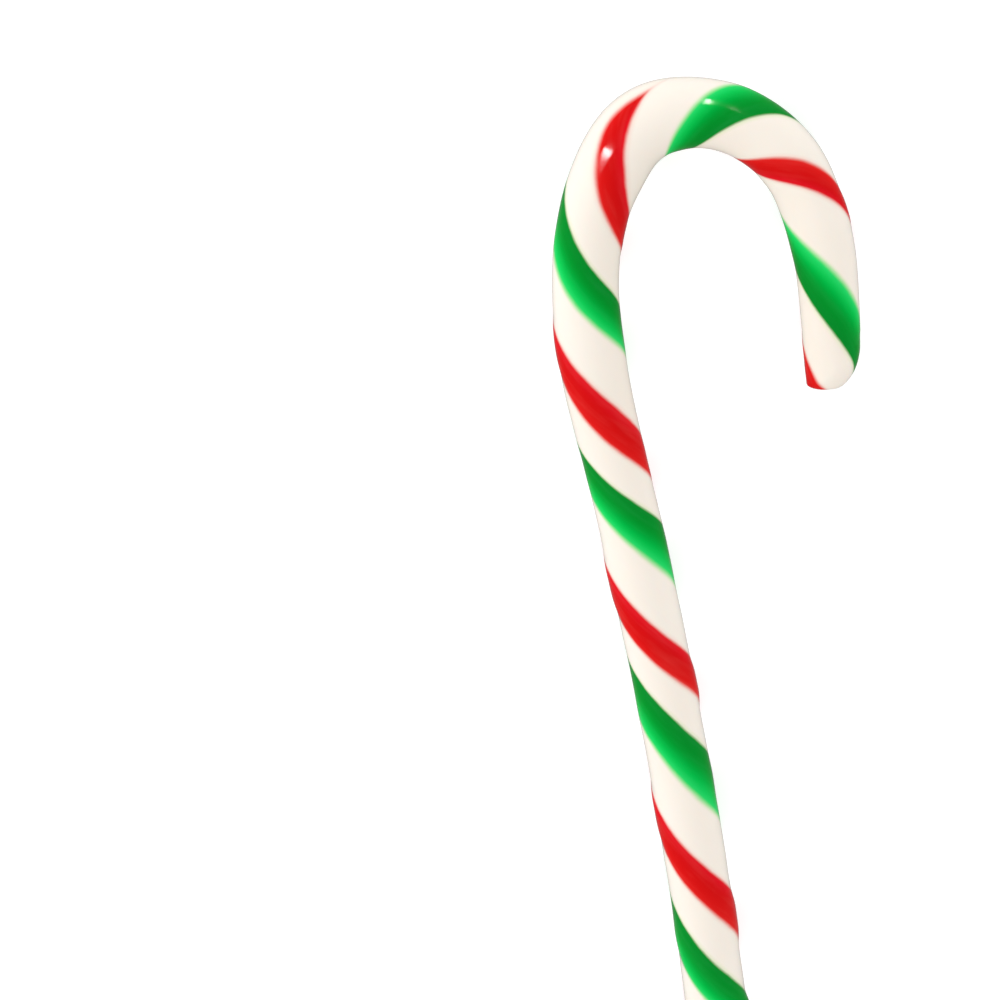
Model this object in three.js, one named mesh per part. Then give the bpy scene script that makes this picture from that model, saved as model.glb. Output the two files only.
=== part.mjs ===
// A candy cane: one pulled-sugar stick bent into a hook while it was still warm.
// It lies on its side on the XY plane, foot towards -Y, hook towards +Y and +X.
// Units are millimetres, +Z is up, and the origin is under the middle of its box.

import * as THREE from "three";

// The stick, from foot to tip, measured along its middle line.
const stemLength = 123;        // foot to the start of the bend
const stemBowRadius = 1000;    // the stem is not quite straight
const tipLength = 15.3;        // end of the bend to the tip

// The bend, as a chain of arcs that follow on from one another.
const bendArcs = [
  { name: "leadIn", radius: 103, turn: 12.5 },
  { name: "rise", radius: 38, turn: 33.5 },
  { name: "shoulder", radius: 10, turn: 48 },
  { name: "crown", radius: 19.2, turn: 76.5 },
  { name: "fall", radius: 56, turn: 17.7 },
];
const arcBlend = 5.5;          // length over which one arc's curvature eases into the next

// Thickness of the stick, as stations along the middle line.
// The warm stick bulged at the tight shoulder and drew out thinner towards the tip.
const thickness = [
  { at: 0, diameter: 10.9 },
  { at: 80, diameter: 10.35 },
  { at: 148, diameter: 10.4 },
  { at: 170, diameter: 11.5 },
  { at: 185, diameter: 10.2 },
  { at: 205, diameter: 9.65 },
  { at: 234, diameter: 8.7 },
];

// Where it lay on the table to set, its underside went flat.
const flatDepth = 0.25;

// The two cut ends. Each is a shallow dome. Its edge is rounded a little on the
// inner side of the hook and much more on the outer side.
const tipEnd = { dome: 0.6, innerRound: 0.6, outerRound: 6.0, sheared: 9.0 };
const footEnd = { dome: 0.5, innerRound: 0.9, outerRound: 1.6, sheared: 4.0 };
const innerRoundReach = 0.22;  // share of the radius that the inner rounding takes in
const outerRoundReach = 1;
const outerBias = 1.5;         // above 1 keeps the deep rounding on the outer side

// Mesh density.
const sides = 28;              // facets round the stick
const stemStep = 4.2;          // ring spacing along the stem
const bendStep = 1.7;          // ring spacing round the bend
const endRings = 4;            // rings across each cut end
const shearRings = 4;          // rings that lean over to meet each cut end
const walkStep = 0.1;          // step for summing the middle line

const surface = { color: 0xfaf3e8, roughness: 0.16, metalness: 0 };

const degrees = Math.PI / 180;
const bendLength = bendArcs.reduce((sum, arc) => sum + arc.radius * arc.turn * degrees, 0);
const caneLength = stemLength + bendLength + tipLength;

// Curvature of the middle line, in radians per millimetre, at a distance from the foot.
function curvatureAt(distance) {
  const ease = (start) => THREE.MathUtils.smoothstep(distance, start - arcBlend / 2, start + arcBlend / 2);
  let curvature = -1 / stemBowRadius;
  let previous = curvature;
  let start = stemLength;
  for (const arc of bendArcs) {
    curvature += (1 / arc.radius - previous) * ease(start);
    previous = 1 / arc.radius;
    start += arc.radius * arc.turn * degrees;
  }
  return curvature - previous * ease(start);
}

function radiusAt(distance) {
  const last = thickness.length - 1;
  const place = THREE.MathUtils.clamp(distance, 0, thickness[last].at);
  const after = Math.max(1, thickness.findIndex((station) => station.at >= place));
  const from = thickness[after - 1];
  const to = thickness[after];
  const share = THREE.MathUtils.smoothstep(place, from.at, to.at);
  return THREE.MathUtils.lerp(from.diameter, to.diameter, share) / 2;
}

// Walks along the middle line and returns a function that gives the point, the
// heading and the outward side at any distance from the foot.
function layMiddleLine() {
  const steps = Math.ceil(caneLength / walkStep);
  const step = caneLength / steps;
  const headings = [0];
  for (let i = 0; i < steps; i += 1) {
    headings.push(headings[i] + curvatureAt((i + 0.5) * step) * step);
  }
  // The heading is +Y where the bend starts.
  const straight = headings[Math.round(stemLength / step)];
  const points = [new THREE.Vector2(0, 0)];
  for (let i = 0; i < steps; i += 1) {
    const heading = (headings[i] + headings[i + 1]) / 2 - straight;
    const move = new THREE.Vector2(Math.sin(heading), Math.cos(heading));
    points.push(points[i].clone().addScaledVector(move, step));
  }
  return (distance) => {
    const place = THREE.MathUtils.clamp(distance / step, 0, steps - 1e-6);
    const index = Math.floor(place);
    const share = place - index;
    const heading = THREE.MathUtils.lerp(headings[index], headings[index + 1], share) - straight;
    return {
      centre: points[index].clone().lerp(points[index + 1], share),
      forward: new THREE.Vector2(Math.sin(heading), Math.cos(heading)),
      outward: new THREE.Vector2(-Math.cos(heading), Math.sin(heading)),
    };
  };
}

// How far an end's surface lies back from its furthest point, at a share of the
// radius and an angle round the stick, 0 on the hook's outer side.
function endSetback(end, share, angle) {
  const outer = (1 + Math.cos(angle)) / 2;
  const depth = THREE.MathUtils.lerp(end.innerRound, end.outerRound, outer ** outerBias);
  const reach = THREE.MathUtils.lerp(innerRoundReach, outerRoundReach, outer);
  const rounded = Math.max(0, (share - (1 - reach)) / reach);
  return end.dome * share * share + depth * (1 - Math.sqrt(1 - rounded * rounded));
}

// A point of the skin. lean slides it along the stick, share pulls it to the middle.
function skinPoint(middleLine, distance, angle, share, lean) {
  const radius = radiusAt(distance);
  const { centre, forward, outward } = middleLine(distance);
  const across = radius * share * Math.cos(angle);
  const spot = centre.clone().addScaledVector(outward, across).addScaledVector(forward, lean);
  const height = radius - flatDepth + radius * share * Math.sin(angle);
  return new THREE.Vector3(spot.x, spot.y, Math.max(0, height));
}

function ring(middleLine, distance, share, leanAt) {
  const points = [];
  for (let i = 0; i < sides; i += 1) {
    const angle = (i / sides) * 2 * Math.PI - Math.PI / 2;
    points.push(skinPoint(middleLine, distance, angle, share, leanAt(angle)));
  }
  return points;
}

// Rings from the foot's middle to the tip's middle.
function layRings(middleLine) {
  const rings = [];
  const noLean = () => 0;

  const across = (end, distance, direction, share) =>
    ring(middleLine, distance, share, (angle) => -direction * endSetback(end, share, angle));
  const leaning = (end, distance, direction, part) =>
    ring(middleLine, distance - direction * end.sheared * (1 - part), 1, (angle) =>
      -direction * endSetback(end, 1, angle) * part);

  for (let i = 1; i <= endRings; i += 1) {
    rings.push(across(footEnd, 0, -1, Math.sin((i / endRings) * Math.PI / 2)));
  }
  for (let i = shearRings - 1; i > 0; i -= 1) {
    rings.push(leaning(footEnd, 0, -1, i / shearRings));
  }
  let distance = footEnd.sheared;
  const bodyEnd = caneLength - tipEnd.sheared;
  while (distance < bodyEnd - bendStep / 2) {
    rings.push(ring(middleLine, distance, 1, noLean));
    distance += distance < stemLength - stemStep ? stemStep : bendStep;
  }
  rings.push(ring(middleLine, bodyEnd, 1, noLean));
  for (let i = 1; i < shearRings; i += 1) {
    rings.push(leaning(tipEnd, caneLength, 1, i / shearRings));
  }
  for (let i = endRings; i >= 1; i -= 1) {
    rings.push(across(tipEnd, caneLength, 1, Math.sin((i / endRings) * Math.PI / 2)));
  }
  return rings;
}

// Joins the rings into one closed skin, with a point in the middle of each end.
function skinOver(rings, footPoint, tipPoint) {
  const points = [footPoint, ...rings.flat(), tipPoint];
  const faces = [];
  const at = (row, i) => 1 + row * sides + (i % sides);
  const tip = points.length - 1;
  const lastRow = rings.length - 1;
  for (let i = 0; i < sides; i += 1) {
    faces.push(0, at(0, i + 1), at(0, i));
    faces.push(tip, at(lastRow, i), at(lastRow, i + 1));
    for (let row = 0; row < lastRow; row += 1) {
      faces.push(at(row, i), at(row, i + 1), at(row + 1, i + 1));
      faces.push(at(row, i), at(row + 1, i + 1), at(row + 1, i));
    }
  }
  const geometry = new THREE.BufferGeometry().setFromPoints(points);
  geometry.setIndex(faces);
  return geometry;
}

function candyCane() {
  const middleLine = layMiddleLine();
  const rings = layRings(middleLine);
  const footPoint = skinPoint(middleLine, 0, 0, 0, 0);
  const tipPoint = skinPoint(middleLine, caneLength, 0, 0, 0);
  const geometry = skinOver(rings, footPoint, tipPoint);
  geometry.computeBoundingBox();
  const middle = geometry.boundingBox.getCenter(new THREE.Vector3());
  geometry.translate(-middle.x, -middle.y, 0);
  geometry.computeVertexNormals();
  const cane = new THREE.Mesh(geometry, new THREE.MeshStandardMaterial(surface));
  cane.name = "candy_cane";
  return cane;
}

const model = new THREE.Group();
model.add(candyCane());

export default model;
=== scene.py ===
import math
import random

import bpy
import numpy as np
from mathutils import Matrix, Vector


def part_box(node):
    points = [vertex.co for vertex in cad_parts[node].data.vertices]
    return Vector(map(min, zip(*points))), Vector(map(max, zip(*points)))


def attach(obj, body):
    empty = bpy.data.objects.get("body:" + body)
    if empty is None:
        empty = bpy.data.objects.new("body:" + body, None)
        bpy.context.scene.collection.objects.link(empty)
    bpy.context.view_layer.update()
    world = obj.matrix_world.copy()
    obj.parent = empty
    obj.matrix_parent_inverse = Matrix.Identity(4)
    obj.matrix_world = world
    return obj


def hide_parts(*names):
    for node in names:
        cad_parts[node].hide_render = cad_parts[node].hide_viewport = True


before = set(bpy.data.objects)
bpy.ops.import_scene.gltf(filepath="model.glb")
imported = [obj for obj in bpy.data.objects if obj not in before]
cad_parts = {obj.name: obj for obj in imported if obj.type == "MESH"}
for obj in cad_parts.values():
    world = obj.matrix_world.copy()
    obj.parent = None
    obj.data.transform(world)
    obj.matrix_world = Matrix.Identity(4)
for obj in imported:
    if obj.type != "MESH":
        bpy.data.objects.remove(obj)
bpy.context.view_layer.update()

# A candy cane of pulled sugar, lying on its side on a pale table.
# Lengths in the settings are millimetres unless a note says otherwise.

mm = 0.001


def smoothShare(value, low, high):
    share = np.clip((value - low) / (high - low), 0, 1)
    return share * share * (3 - 2 * share)


def alongStations(stations, place):
    # Smooth curve through (place, value) pairs, straight beyond both ends.
    at, value = np.array(stations, float).T
    gap = np.diff(at)
    slope = np.diff(value) / gap
    tangent = np.concatenate([
        slope[:1],
        (slope[:-1] * gap[1:] + slope[1:] * gap[:-1]) / (gap[:-1] + gap[1:]),
        slope[-1:],
    ])
    inside = np.clip(place, at[0], at[-1])
    i = np.clip(np.searchsorted(at, inside, side="right") - 1, 0, len(gap) - 1)
    t = (inside - at[i]) / gap[i]
    curve = (
        (2 * t**3 - 3 * t**2 + 1) * value[i]
        + (t**3 - 2 * t**2 + t) * gap[i] * tangent[i]
        + (3 * t**2 - 2 * t**3) * value[i + 1]
        + (t**3 - t**2) * gap[i] * tangent[i + 1]
    )
    before = tangent[0] * np.minimum(place - at[0], 0)
    after = tangent[-1] * np.maximum(place - at[-1], 0)
    return curve + before + after


# The bent stick. Distances run from the foot along the middle line.
stick = {
    "stemLength": 123,
    "stemBowRadius": 1000,
    "bendArcs": [(103, 12.5), (38, 33.5), (10, 48), (19.2, 76.5), (56, 17.7)],  # radius, degrees
    "arcBlend": 5.5,     # over which one arc turns into the next
    "tipLength": 14.7,
    "diameters": [       # at a distance from the foot
        (0, 10.9), (80, 10.35), (100, 10.4), (112, 10.12), (121, 10.4), (131, 10.72),
        (148, 10.4), (170, 11.5), (185, 10.2), (205, 9.65), (234, 8.7),
    ],
    "flatDepth": 0.25,   # how far the table pressed the underside flat
    "walkStep": 0.1,
    "ringStep": 0.7,
    "sides": 120,
}
bendLength = sum(radius * math.radians(turn) for radius, turn in stick["bendArcs"])
caneLength = stick["stemLength"] + bendLength + stick["tipLength"]


def curvatureAt(distance):
    half = stick["arcBlend"] / 2
    previous = -1 / stick["stemBowRadius"]
    curvature = np.full_like(distance, previous)
    start = stick["stemLength"]
    for radius, turn in stick["bendArcs"] + [(math.inf, 0)]:
        curvature += (1 / radius - previous) * smoothShare(distance, start - half, start + half)
        previous = 1 / radius
        start += radius * math.radians(turn) if turn else 0
    return curvature


def radiusAt(distance):
    at, diameter = np.array(stick["diameters"], float).T
    place = np.clip(distance, at[0], at[-1])
    after = np.clip(np.searchsorted(at, place), 1, len(at) - 1)
    share = smoothShare(place, at[after - 1], at[after])
    return (diameter[after - 1] + (diameter[after] - diameter[after - 1]) * share) / 2


# The middle line, walked in small steps. Its heading is zero where the bend starts.
steps = math.ceil(caneLength / stick["walkStep"])
step = caneLength / steps
walked = np.arange(steps + 1) * step
turned = np.cumsum(curvatureAt((np.arange(steps) + 0.5) * step) * step)
headings = np.concatenate([[0], turned])
headings -= headings[round(stick["stemLength"] / step)]
middleHeadings = (headings[1:] + headings[:-1]) / 2
middleX = np.concatenate([[0], np.cumsum(np.sin(middleHeadings) * step)])
middleY = np.concatenate([[0], np.cumsum(np.cos(middleHeadings) * step)])

# The stripes wind round the stick by this many degrees at a distance from the foot.
twist = [
    (20, -86), (55, 185), (72, 319), (84, 424), (100, 562), (121, 762), (129, 830), (145, 985),
    (160, 1117), (172, 1221), (184, 1376), (196, 1506), (208, 1621), (222, 1740), (240, 1880),
]
# The stem rolled a little under the hand, so its winding runs late by these
# millimetres at these degrees round it. The share of that fades out in the hook.
slant = [
    (0, 0.5), (35, 0.68), (65, 0.33), (95, -0.08), (120, -0.24),
    (145, -0.08), (165, 0.15), (200, 0.3), (360, 0.5),
]
slantShare = [(20, 0.5), (60, 1), (110, 1), (150, 0.6), (180, 0), (240, 0)]

# Each stripe's middle and width are degrees round the stick, and rise is the height of its
# ridge. The low edge is where the colour ran thin and soft, the high edge stayed crisp, and
# both are as wide as stated. The tones run from the low edge to the high one, lighter at the
# low edge and darker towards the high one: partly the colour's own thinning, partly painted
# light and shade, the low edge lying on the lit side and the high edge turning away from it.
stripes = {
    "green": {
        "middle": [(20, 0), (235, 0)],
        "width": [
            (20, 80), (57, 101), (65, 92), (72, 100), (104, 93), (120, 88), (133, 82),
            (145, 87), (151, 79), (160, 80), (175, 92), (186, 95), (200, 91), (235, 88),
        ],
        "rise": [
            (0, 0.5), (17, 0.7), (27, 0.2), (33, 0.06), (58, 0.04),
            (110, 0.03), (160, 0), (205, 0), (235, 0.04),
        ],
        "lowEdge": 1.6,
        "highEdge": 0.75,
        # low edge to high edge: partly the sugar's own tones, partly painted light and shade
        "tonesAndPaintedShade": [
            (0.0, "#36e278"), (0.15, "#12d35e"), (0.3, "#00bf4a"), (0.43, "#00a93c"),
            (0.56, "#029930"), (0.7, "#02902a"), (1.0, "#0a8a2e"),
        ],
        "streak": "#4fce86",
        "airPale": 0.05,     # how much of that colour the streaks take
        "bleed": "#dfe9c2",
        "bleedReach": 1.2,   # how far the colour bled into the white
    },
    "red": {
        "middle": [
            (20, 165), (80, 161), (120, 162), (145, 182), (160, 154),
            (168, 171), (176, 207), (186, 190), (200, 174), (235, 170),
        ],
        "width": [
            (20, 76), (60, 66), (85, 71), (95, 76), (113, 70), (125, 71), (136, 61),
            (150, 76), (160, 59), (166, 50), (170, 38), (173, 15), (175, -4), (180, -8),
            (183, 14), (190, 60), (205, 46), (235, 49),
        ],
        "rise": [
            (0, 0.25), (30, 0.28), (50, 0.33), (77, 0.33), (93, 0.28), (115, 0.13),
            (132, 0.22), (150, 0.2), (165, 0), (185, 0), (200, 0.12), (235, 0.15),
        ],
        "lowEdge": 1.1,
        "highEdge": 0.9,
        # low edge to high edge: partly the sugar's own tones, partly painted light and shade
        "tonesAndPaintedShade": [
            (0.0, "#e62c2a"), (0.15, "#df1716"), (0.4, "#d71313"), (0.7, "#d30d10"),
            (1.0, "#e6182a"),
        ],
        "streak": "#f2605a",
        "airPale": 0.14,
        "bleed": "#f6d5c9",
        "bleedReach": 1.2,
    },
}

# A stripe's ridge is full and gone at these shares of its half width, which counts as no
# less than these degrees.
ridge = {"full": 0.4, "gone": 1.3, "leastHalf": 1}

# Cut ends: a shallow dome, its edge rounded more on the hook's outer side. A reach is the
# share of the radius that the rounding takes from the edge inwards. Over the sheared length
# the rings lean more and more towards the shape of the end.
ends = {
    "tip": {"dome": 0.5, "innerRound": 0.4, "outerRound": 6.7, "sheared": 9.0},
    "foot": {"dome": 0.5, "innerRound": 0.9, "outerRound": 1.6, "sheared": 4.0},
    "innerReach": 0.22,
    "outerReach": 1,
    "outerBias": 1.1,
    "rings": 14,
}

# Hand-pulled unevenness: ripples of this length, turns round the stick and height.
ripples = {
    "seed": 4,
    "waves": [(61, 1, 0.06), (37, 2, 0.05), (23, 1, 0.03), (17, 3, 0.02), (11, 2, 0.012)],
}


def wrapped(angle):
    return (angle + math.pi) % (2 * math.pi) - math.pi


def stripeAngle(name, distance, angle):
    late = alongStations(slant, np.degrees(angle) % 360) * alongStations(slantShare, distance)
    winding = np.radians(alongStations(twist, distance - late))
    middle = np.radians(alongStations(stripes[name]["middle"], distance))
    return wrapped(angle + winding - middle)


def stripeHalf(name, distance):
    # Below zero the colour has run out and only a faint tint is left.
    return np.radians(alongStations(stripes[name]["width"], distance)) / 2


def reliefAt(distance, angle):
    dice = random.Random(ripples["seed"])
    winding = np.radians(alongStations(twist, distance))
    relief = np.zeros_like(angle)
    for length, turns, height in ripples["waves"]:
        phase = dice.uniform(0, 2 * math.pi)
        drift = dice.uniform(0, 2 * math.pi)
        swell = np.sin(2 * math.pi * distance / length + drift)
        relief += height * swell * np.cos(turns * (angle + winding) + phase)
    for name, stripe in stripes.items():
        half = np.maximum(stripeHalf(name, distance), math.radians(ridge["leastHalf"]))
        off = np.abs(stripeAngle(name, distance, angle)) / half
        rise = alongStations(stripe["rise"], distance)
        relief += rise * (1 - smoothShare(off, ridge["full"], ridge["gone"]))
    return relief


def endSetback(end, share, angle):
    outer = (1 + np.cos(angle)) / 2
    deeper = end["outerRound"] - end["innerRound"]
    depth = end["innerRound"] + deeper * outer ** ends["outerBias"]
    reach = ends["innerReach"] + (ends["outerReach"] - ends["innerReach"]) * outer
    rounded = np.clip((share - (1 - reach)) / reach, 0, 1)
    return end["dome"] * share * share + depth * (1 - np.sqrt(1 - rounded * rounded))


def layRings():
    # One row for each ring: distance from the foot, share of the radius, slide along
    # the stick. Angles run round the stick from its underside.
    angle = np.arange(stick["sides"]) / stick["sides"] * 2 * math.pi - math.pi / 2
    foot, tip, count = ends["foot"], ends["tip"], ends["rings"]
    rows = []
    for i in range(1, count + 1):
        share = math.sin(i / count * math.pi / 2)
        rows.append((0, share, endSetback(foot, share, angle)))
    for i in range(count - 1, 0, -1):
        part = i / count
        rows.append((foot["sheared"] * (1 - part), 1, endSetback(foot, 1, angle) * part))
    bodyEnd = caneLength - tip["sheared"]
    body = round((bodyEnd - foot["sheared"]) / stick["ringStep"])
    for distance in np.linspace(foot["sheared"], bodyEnd, body):
        rows.append((distance, 1, np.zeros_like(angle)))
    for i in range(1, count):
        part = i / count
        distance = caneLength - tip["sheared"] * (1 - part)
        rows.append((distance, 1, -endSetback(tip, 1, angle) * part))
    for i in range(count, 0, -1):
        share = math.sin(i / count * math.pi / 2)
        rows.append((caneLength, share, -endSetback(tip, share, angle)))
    distance = np.array([row[0] for row in rows])[:, None] + 0 * angle
    share = np.array([row[1] for row in rows])[:, None] + 0 * angle
    slide = np.array([row[2] for row in rows])
    return distance, share, slide, np.broadcast_to(angle, distance.shape)


def skinPoints(distance, share, slide, angle):
    heading = np.interp(distance, walked, headings)
    x = np.interp(distance, walked, middleX)
    y = np.interp(distance, walked, middleY)
    radius = radiusAt(distance)
    seen = distance + slide
    proud = (radius + reliefAt(seen, angle)) * share
    x = x - np.cos(heading) * proud * np.cos(angle) + np.sin(heading) * slide
    y = y + np.sin(heading) * proud * np.cos(angle) + np.cos(heading) * slide
    z = np.maximum(radius - stick["flatDepth"] + proud * np.sin(angle), 0)
    return np.stack([x, y, z], -1)


def storePoints(mesh, name, kind, field, values):
    stored = mesh.attributes.new(name, kind, "POINT")
    stored.data.foreach_set(field, values.ravel())


def buildCane():
    distance, share, slide, angle = layRings()
    points = skinPoints(distance, share, slide, angle)
    rows, sides = distance.shape
    zero = np.zeros(1)
    footPoint = skinPoints(zero, zero, zero, zero)
    tipPoint = skinPoints(zero + caneLength, zero, zero, zero)
    seen = np.concatenate([zero, (distance + slide).ravel(), zero + caneLength])
    around = np.concatenate([zero, angle.ravel(), zero])
    vertices = np.concatenate([footPoint, points.reshape(-1, 3), tipPoint])
    first = 1 + np.arange(sides)
    second = 1 + (np.arange(sides) + 1) % sides
    last = (rows - 1) * sides
    faces = [(0, int(b), int(a)) for a, b in zip(first, second)]
    for row in range(rows - 1):
        shift = row * sides
        for a, b in zip(first + shift, second + shift):
            faces.append((int(a), int(b), int(b) + sides, int(a) + sides))
    apex = len(vertices) - 1
    faces += [(apex, int(a), int(b)) for a, b in zip(first + last, second + last)]

    # Same place as the frame's own solid: centred on its box.
    low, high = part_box("candy_cane")
    centre = (vertices.min(0) + vertices.max(0)) / 2
    vertices[:, 0] += (low.x + high.x) / 2 / mm - centre[0]
    vertices[:, 1] += (low.y + high.y) / 2 / mm - centre[1]
    mesh = bpy.data.meshes.new("candyCane")
    mesh.from_pydata((vertices * mm).tolist(), [], faces)
    mesh.shade_smooth()

    # For the sugar's colours: where each point lies across each stripe, its place in the
    # unwound stick, and its share of the radius.
    for name in stripes:
        across = stripeAngle(name, seen, around)
        across = np.stack([np.cos(across), np.sin(across), stripeHalf(name, seen)], -1)
        storePoints(mesh, name + "Stripe", "FLOAT_VECTOR", "vector", across)
    unwound = stripeAngle("green", seen, around)
    radius = radiusAt(seen)
    pulled = np.stack([np.cos(unwound) * radius, np.sin(unwound) * radius, seen], -1)
    storePoints(mesh, "pulled", "FLOAT_VECTOR", "vector", pulled)
    outward = np.concatenate([zero, share.ravel(), zero])
    storePoints(mesh, "outward", "FLOAT", "value", outward)
    cane = bpy.data.objects.new("caneSugar", mesh)
    bpy.context.scene.collection.objects.link(cane)
    return cane


def linear(colour):
    parts = [int(colour[i:i + 2], 16) / 255 for i in (1, 3, 5)]
    return [p / 12.92 if p <= 0.04045 else ((p + 0.055) / 1.055) ** 2.4 for p in parts] + [1]


def addNode(tree, kind, inputs=None, **settings):
    node = tree.nodes.new(kind)
    for name, value in settings.items():
        setattr(node, name, value)
    for name, value in (inputs or {}).items():
        if isinstance(value, bpy.types.NodeSocket):
            tree.links.new(value, node.inputs[name])
        else:
            node.inputs[name].default_value = value
    return node


# Pulled sugar: boiled sugar stretched until fine air lines turn it white, then polished
# smooth by its own melt. It reads as glossy, dense and creamy, a little soft at the edges.
sugar = {
    "cream": "#fbf4ea",
    "warmCream": "#f8eee2",
    "blush": "#fbeee7",
    "blushLevels": (0.5, 0.9),  # of the pull lines, where the blush starts and is full
    "blushMost": 0.5,
    "creamPatch": 14,           # size of the slow drifts in colour
    "pullLine": 0.8,            # width of the fine lines along the pull
    "pullRun": 20,              # and their length
    "airLine": 1.5,             # width of the paler streaks in the coloured sugar
    "airRun": 7,                # and their length
    "airLevels": (0.46, 0.76),
    "edgeWobble": 0.16,         # how far the stripes' edges wander
    "wobblesPerMm": 0.35,
    "wobbleLevels": (0.25, 0.75),
    "bleedInside": 3,           # the bleed reaches this many times less far inwards
    "coreShare": 0.72,          # of the radius, where the coloured wedges end inwards
    "coreBlur": 0.1,
    "stickRadius": 5.2,         # turns an angle round the stick into a width
    "ior": 1.5,
    "gloss": 0.25,              # half the usual, as sugar dust dulls the skin
    "roughness": 0.08,
    "polishSpread": (-0.03, 0.05),
    "cutRoughness": 0.22,       # how much duller a cut face is than the polished skin
    "softDepth": 1.2,           # how far light wanders under the skin, red furthest
    "softReach": (1, 0.75, 0.6),
    "softShare": 0.2,
    "bloom": 0.32,              # fine sugar dust that pales the skin where it turns away
    "bloomSpread": 0.29,
    "dimple": 2.5,              # width of the faint dimples in the skin
    "dimpleDepth": 0.002,
}


def paintCream(tree, place, lineNoise):
    # Cream drifts slowly between a cooler and a warmer white, with a faint blush.
    drift = addNode(tree, "ShaderNodeTexNoise", {
        "Vector": place, "Scale": 1 / (sugar["creamPatch"] * mm), "Detail": 2, "Roughness": 0.5,
    })
    warm = addNode(tree, "ShaderNodeMix", {
        "Factor": drift.outputs["Fac"],
        "A": linear(sugar["cream"]), "B": linear(sugar["warmCream"]),
    }, data_type="RGBA")
    start, full = sugar["blushLevels"]
    blushShare = addNode(tree, "ShaderNodeMapRange", {
        "Value": lineNoise, "From Min": start, "From Max": full,
        "To Min": 0, "To Max": sugar["blushMost"],
    })
    return addNode(tree, "ShaderNodeMix", {
        "Factor": blushShare.outputs["Result"],
        "A": warm.outputs[2], "B": linear(sugar["blush"]),
    }, data_type="RGBA").outputs[2]


def shadeStripe(tree, stripe, share, airNoise):
    # Tones across the stripe, lighter at the low edge partly as painted light and darker towards
    # the high edge partly as painted shade. Where the pull left a little more air it is paler.
    shade = addNode(tree, "ShaderNodeMapRange", {
        "Value": share, "From Min": -1, "From Max": 1, "To Min": 0, "To Max": 1,
    })
    ramp = addNode(tree, "ShaderNodeValToRGB", {0: shade.outputs["Result"]})
    ramp.color_ramp.interpolation = "B_SPLINE"
    while len(ramp.color_ramp.elements) < len(stripe["tonesAndPaintedShade"]):
        ramp.color_ramp.elements.new(1)
    for element, (spot, tint) in zip(ramp.color_ramp.elements, stripe["tonesAndPaintedShade"]):
        element.position = spot
        element.color = linear(tint)
    start, full = sugar["airLevels"]
    streakShare = addNode(tree, "ShaderNodeMapRange", {
        "Value": airNoise, "From Min": start, "From Max": full, "To Max": stripe["airPale"],
    })
    return addNode(tree, "ShaderNodeMix", {
        "Factor": streakShare.outputs["Result"],
        "A": ramp.outputs["Color"], "B": linear(stripe["streak"]),
    }, data_type="RGBA").outputs[2]


def paintStripe(tree, name, under, airNoise, wobble, skin):
    stripe = stripes[name]
    stored = addNode(tree, "ShaderNodeAttribute", attribute_name=name + "Stripe")
    parts = addNode(tree, "ShaderNodeSeparateXYZ", {0: stored.outputs["Vector"]})
    cosine, sine, half = parts.outputs
    angle = addNode(tree, "ShaderNodeMath", {0: sine, 1: cosine}, operation="ARCTAN2").outputs[0]
    share = addNode(tree, "ShaderNodeMath", {0: angle, 1: half}, operation="DIVIDE").outputs[0]
    shaded = shadeStripe(tree, stripe, share, airNoise)

    # Millimetres inside the low edge and inside the high edge, along the skin.
    masks, bleeds = [], []
    for side, edge in ((1, "lowEdge"), (-1, "highEdge")):
        signed = addNode(tree, "ShaderNodeMath", {
            0: angle, 1: side, 2: half,
        }, operation="MULTIPLY_ADD")
        inside = addNode(tree, "ShaderNodeMath", {
            0: signed.outputs[0], 1: sugar["stickRadius"], 2: wobble,
        }, operation="MULTIPLY_ADD")
        masks.append(addNode(tree, "ShaderNodeMapRange", {
            "Value": inside.outputs[0],
            "From Min": -stripe[edge] / 2, "From Max": stripe[edge] / 2,
        }, interpolation_type="SMOOTHSTEP").outputs["Result"])
        bleeds.append(addNode(tree, "ShaderNodeMapRange", {
            "Value": inside.outputs[0], "From Min": -stripe["bleedReach"],
            "From Max": stripe["bleedReach"] / sugar["bleedInside"],
        }, interpolation_type="SMOOTHSTEP").outputs["Result"])
    both = addNode(tree, "ShaderNodeMath", {0: masks[0], 1: masks[1]}, operation="MULTIPLY")
    mask = addNode(tree, "ShaderNodeMath", {0: both.outputs[0], 1: skin}, operation="MULTIPLY")
    near = addNode(tree, "ShaderNodeMath", {0: bleeds[0], 1: bleeds[1]}, operation="MINIMUM")
    bleed = addNode(tree, "ShaderNodeMath", {0: near.outputs[0], 1: skin}, operation="MULTIPLY")
    tinted = addNode(tree, "ShaderNodeMix", {
        "Factor": bleed.outputs[0], "A": under, "B": linear(stripe["bleed"]),
    }, data_type="RGBA")
    return addNode(tree, "ShaderNodeMix", {
        "Factor": mask.outputs[0], "A": tinted.outputs[2], "B": shaded,
    }, data_type="RGBA").outputs[2]


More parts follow.
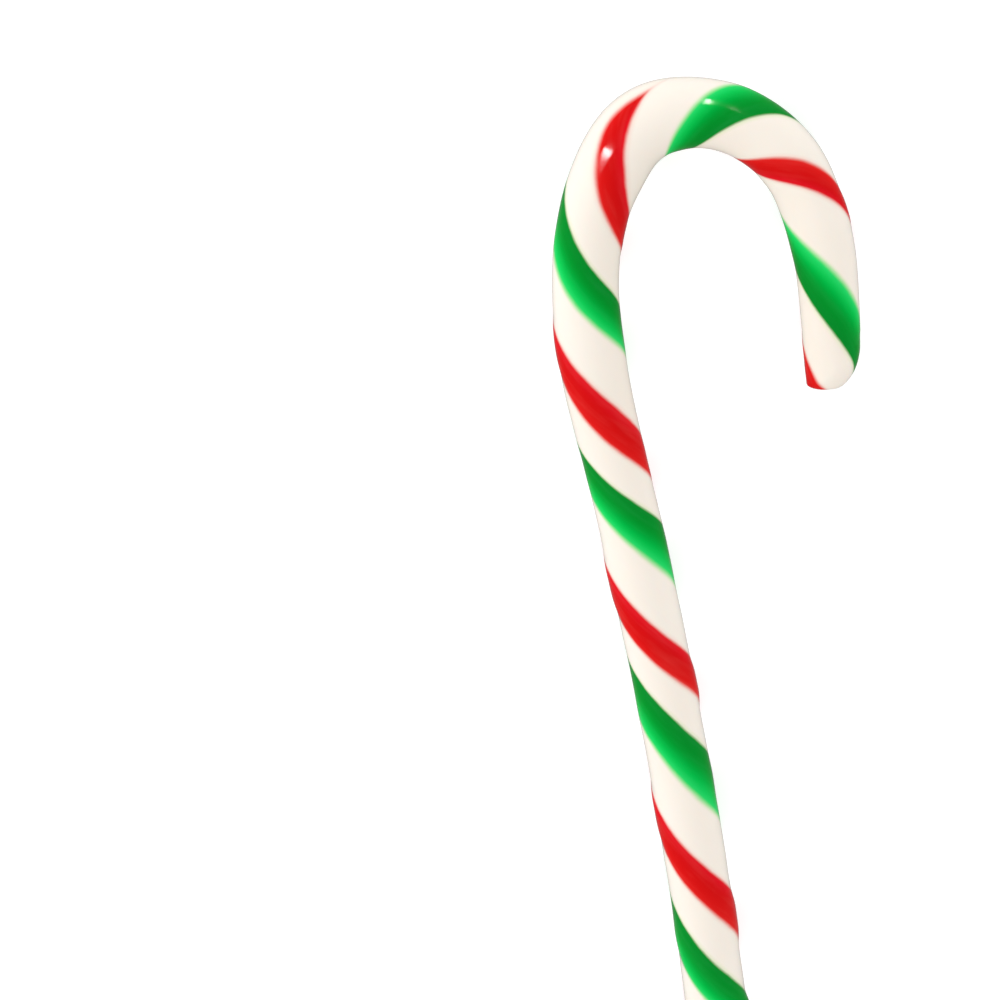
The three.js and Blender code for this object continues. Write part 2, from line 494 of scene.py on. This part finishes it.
def makeSugar():
    material = bpy.data.materials.new("pulledSugar")
    material.use_nodes = True
    tree = material.node_tree
    tree.nodes.clear()
    pulled = addNode(tree, "ShaderNodeAttribute", attribute_name="pulled").outputs["Vector"]
    place = addNode(tree, "ShaderNodeTexCoord").outputs["Object"]

    # Fine lines and longer air streaks, both drawn out along the pull.
    acrossLine, acrossAir = 1 / sugar["pullLine"], 1 / sugar["airLine"]
    lines = addNode(tree, "ShaderNodeMapping", {
        "Vector": pulled, "Scale": (acrossLine, acrossLine, 1 / sugar["pullRun"]),
    })
    lineNoise = addNode(tree, "ShaderNodeTexNoise", {
        "Vector": lines.outputs["Vector"], "Scale": 1, "Detail": 3, "Roughness": 0.6,
    }).outputs["Fac"]
    airLines = addNode(tree, "ShaderNodeMapping", {
        "Vector": pulled, "Scale": (acrossAir, acrossAir, 1 / sugar["airRun"]),
    })
    airNoise = addNode(tree, "ShaderNodeTexNoise", {
        "Vector": airLines.outputs["Vector"], "Scale": 1, "Detail": 2, "Roughness": 0.5,
    }).outputs["Fac"]

    # Millimetres by which the stripes' edges wander.
    wobbleNoise = addNode(tree, "ShaderNodeTexNoise", {
        "Vector": pulled, "Scale": sugar["wobblesPerMm"], "Detail": 3, "Roughness": 0.6,
    })
    least, most = sugar["wobbleLevels"]
    wobble = addNode(tree, "ShaderNodeMapRange", {
        "Value": wobbleNoise.outputs["Fac"], "From Min": least, "From Max": most,
        "To Min": -sugar["edgeWobble"] / 2, "To Max": sugar["edgeWobble"] / 2,
    }, clamp=False).outputs["Result"]

    # The stripes are wedges in the skin. A cut end shows the plain core inside them.
    outward = addNode(tree, "ShaderNodeAttribute", attribute_name="outward").outputs["Fac"]
    skin = addNode(tree, "ShaderNodeMapRange", {
        "Value": outward,
        "From Min": sugar["coreShare"] - sugar["coreBlur"],
        "From Max": sugar["coreShare"] + sugar["coreBlur"],
    }, interpolation_type="SMOOTHSTEP").outputs["Result"]

    colour = paintCream(tree, place, lineNoise)
    for name in stripes:
        colour = paintStripe(tree, name, colour, airNoise, wobble, skin)

    dimples = addNode(tree, "ShaderNodeTexNoise", {
        "Vector": place, "Scale": 1 / (sugar["dimple"] * mm), "Detail": 2, "Roughness": 0.5,
    })
    bump = addNode(tree, "ShaderNodeBump", {
        "Height": dimples.outputs["Fac"], "Distance": sugar["dimpleDepth"] * mm, "Strength": 1,
    })
    smoother, rougher = sugar["polishSpread"]
    polish = addNode(tree, "ShaderNodeMapRange", {
        "Value": lineNoise,
        "To Min": sugar["roughness"] + smoother, "To Max": sugar["roughness"] + rougher,
    })
    dulled = addNode(tree, "ShaderNodeMapRange", {
        "Value": skin, "To Min": sugar["cutRoughness"], "To Max": 0,
    })
    finish = addNode(tree, "ShaderNodeMath", {
        0: polish.outputs["Result"], 1: dulled.outputs["Result"],
    }, operation="ADD")
    shader = addNode(tree, "ShaderNodeBsdfPrincipled", {
        "Base Color": colour,
        "Roughness": finish.outputs[0],
        "IOR": sugar["ior"],
        "Specular IOR Level": sugar["gloss"],
        "Subsurface Weight": sugar["softShare"],
        "Subsurface Radius": sugar["softReach"],
        "Subsurface Scale": sugar["softDepth"] * mm,
        "Sheen Weight": sugar["bloom"],
        "Sheen Roughness": sugar["bloomSpread"],
        "Normal": bump.outputs["Normal"],
    })
    addNode(tree, "ShaderNodeOutputMaterial", {"Surface": shader.outputs["BSDF"]})
    return material


cane = buildCane()
cane.visible_glossy = False
cane.data.materials.append(makeSugar())
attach(cane, "root")
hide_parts("candy_cane")
print("candy cane built:", len(cane.data.vertices), "points")


# A plain pale table top: a frosted light table, as used for sweets on white.
table = {"size": 6000, "colour": "#a8a8a8", "roughness": 0.6, "lit": "#ffffff", "glow": 0.75}


def buildTable():
    half = table["size"] / 2 * mm
    corners = [(-half, -half, 0), (half, -half, 0), (half, half, 0), (-half, half, 0)]
    mesh = bpy.data.meshes.new("tableTop")
    mesh.from_pydata(corners, [], [(0, 1, 2, 3)])
    top = bpy.data.objects.new("tableTop", mesh)
    bpy.context.scene.collection.objects.link(top)
    material = bpy.data.materials.new("paleBoard")
    material.use_nodes = True
    shader = material.node_tree.nodes["Principled BSDF"]
    shader.inputs["Base Color"].default_value = linear(table["colour"])
    shader.inputs["Roughness"].default_value = table["roughness"]
    shader.inputs["Emission Color"].default_value = linear(table["lit"])
    shader.inputs["Emission Strength"].default_value = table["glow"]
    mesh.materials.append(material)
    top.visible_glossy = False
    return top


buildTable()
print("table laid")

# Soft studio light: a white tent, a broad soft key from the left, softer lamps behind and
# to the right, and two narrow strips that only make the glints. Each lamp is an oval in
# this direction from the bend, aimed back at it, with its long way along "wide". All but
# the strips stay out of the gloss, and so do the tent, the table and the cane, because
# sugar dust dulls every other reflection.
studio = {
    "sky": "#fffcfa",
    "skyStrength": 0.89,
    "aim": (-5, 78, 11),
    "away": 900,
    "lamps": {
        "softKey": {
            "towards": (-0.95, 0.15, 0.4), "wide": (0, 1, 0), "size": (1300, 1000),
            "watts": 3.1, "colour": "#f4faff", "glintOnly": False,
        },
        "softBack": {
            "towards": (0.1, 0.95, 0.25), "wide": (1, 0, 0), "size": (1000, 700),
            "watts": 1.7, "colour": "#f4faff", "glintOnly": False,
        },
        "softFill": {
            "towards": (0.97, -0.1, 0.2), "wide": (0, 1, 0), "size": (1000, 700),
            "watts": 0.6, "colour": "#c8e6ff", "glintOnly": False,
        },
        "whiteGlint": {
            "towards": (-0.592, 0.236, 0.771), "wide": (0.547, -0.593, 0.591),
            "size": (500, 36), "watts": 2.7, "colour": "#ffffff", "glintOnly": True,
        },
        "topGlint": {
            "towards": (0.436, 0.601, 0.67), "wide": (-0.137, -0.691, 0.71),
            "size": (300, 46), "watts": 1.65, "colour": "#fffaf0", "glintOnly": True,
        },
    },
}


def lightStudio():
    scene = bpy.context.scene
    world = bpy.data.worlds.new("paleRoom")
    scene.world = world
    world.use_nodes = True
    background = world.node_tree.nodes["Background"]
    background.inputs["Color"].default_value = linear(studio["sky"])
    background.inputs["Strength"].default_value = studio["skyStrength"]
    world.cycles_visibility.glossy = False
    aim = Vector(studio["aim"]) * mm
    for name, lamp in studio["lamps"].items():
        data = bpy.data.lights.new(name, "AREA")
        data.shape = "ELLIPSE"
        data.size, data.size_y = [side * mm for side in lamp["size"]]
        data.energy = lamp["watts"]
        data.color = linear(lamp["colour"])[:3]
        light = bpy.data.objects.new(name, data)
        towards = Vector(lamp["towards"]).normalized()
        tall = towards.cross(Vector(lamp["wide"])).normalized()
        wide = tall.cross(towards)
        light.rotation_euler = Matrix((wide, tall, towards)).transposed().to_euler()
        light.location = aim + towards * studio["away"] * mm
        light.visible_diffuse = not lamp["glintOnly"]
        light.visible_glossy = lamp["glintOnly"]
        scene.collection.objects.link(light)


lightStudio()
print("studio lit")

# The camera looks down on the cane from above its hook, turned by these degrees.
view = {
    "place": (14.47, 118.85, 289.4),
    "turn": (-19.65, 5.17, -14.36),
    "lens": 66.62,
    "sensor": 36,
    "nearest": 10,
}


def placeCamera():
    scene = bpy.context.scene
    data = bpy.data.cameras.new("camera")
    data.sensor_width = view["sensor"]
    data.lens = view["lens"]
    data.clip_start = view["nearest"] * mm
    camera = bpy.data.objects.new("camera", data)
    camera.location = [part * mm for part in view["place"]]
    camera.rotation_euler = [math.radians(part) for part in view["turn"]]
    scene.collection.objects.link(camera)
    scene.camera = camera
    scene.view_settings.view_transform = "Standard"
    scene.view_settings.look = "None"


placeCamera()
print("camera placed")
